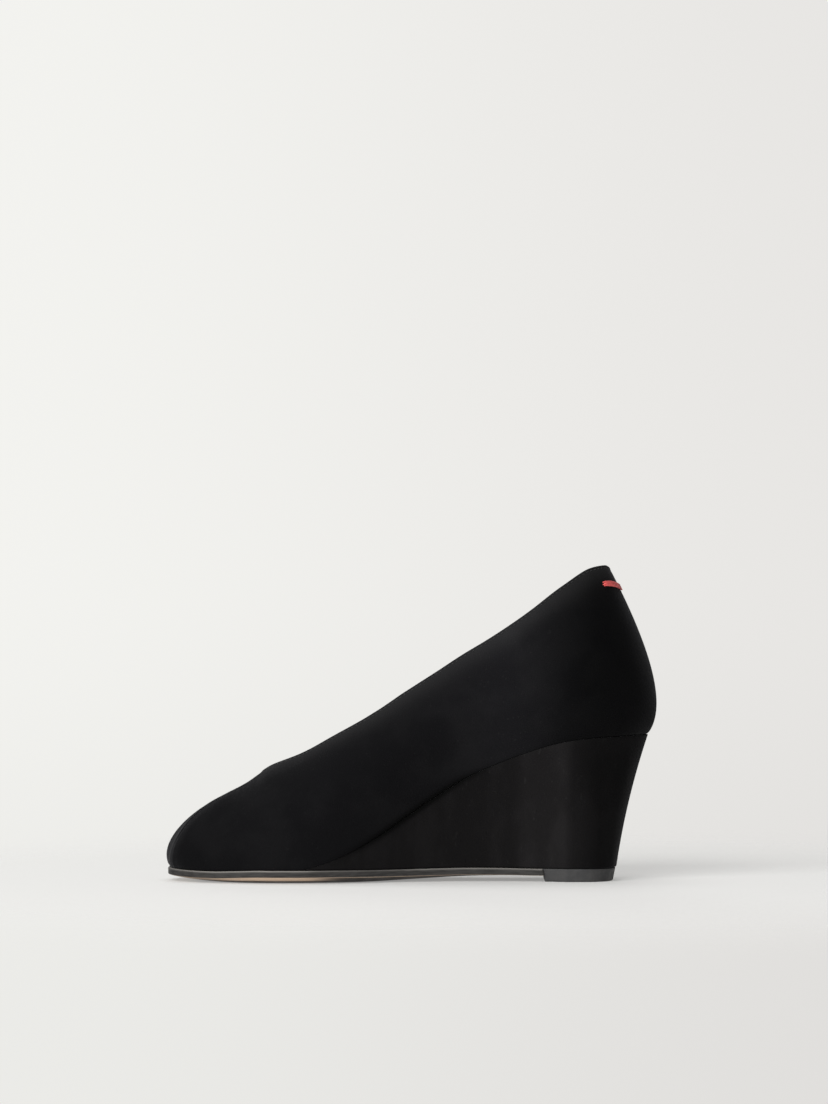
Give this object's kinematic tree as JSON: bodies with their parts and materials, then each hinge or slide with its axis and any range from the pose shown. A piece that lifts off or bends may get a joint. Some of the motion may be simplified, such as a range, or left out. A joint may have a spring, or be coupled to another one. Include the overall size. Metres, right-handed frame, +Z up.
{
  "type": "wedge pump",
  "caption": "Black suede wedge pump for the right foot, with a V-cut topline, a covered wedge heel of about 70 mm, a thin leather outsole and a rubber top piece.",
  "frame": {"origin": "centre of the top piece's ground face, on the floor under the heel", "axes": "+X along the shoe from heel to toe, +Y to the inner (medial) side of the foot, +Z up"},
  "size_m": [0.2343, 0.0764, 0.1505],
  "materials": {
    "suede_upper": "suede nap",
    "suede_wedge": "suede nap",
    "sock_leather": "smooth",
    "sole_leather": "satin, edge painted dark grey",
    "top_piece_rubber": "matte",
    "thread": "satin thread"
  },
  "bodies": {
    "root": {"upper": "suede_upper", "insole": "sock_leather", "wedge": "suede_wedge", "outsole": "sole_leather", "top_piece": "top_piece_rubber"}
  },
  "joints": []
}
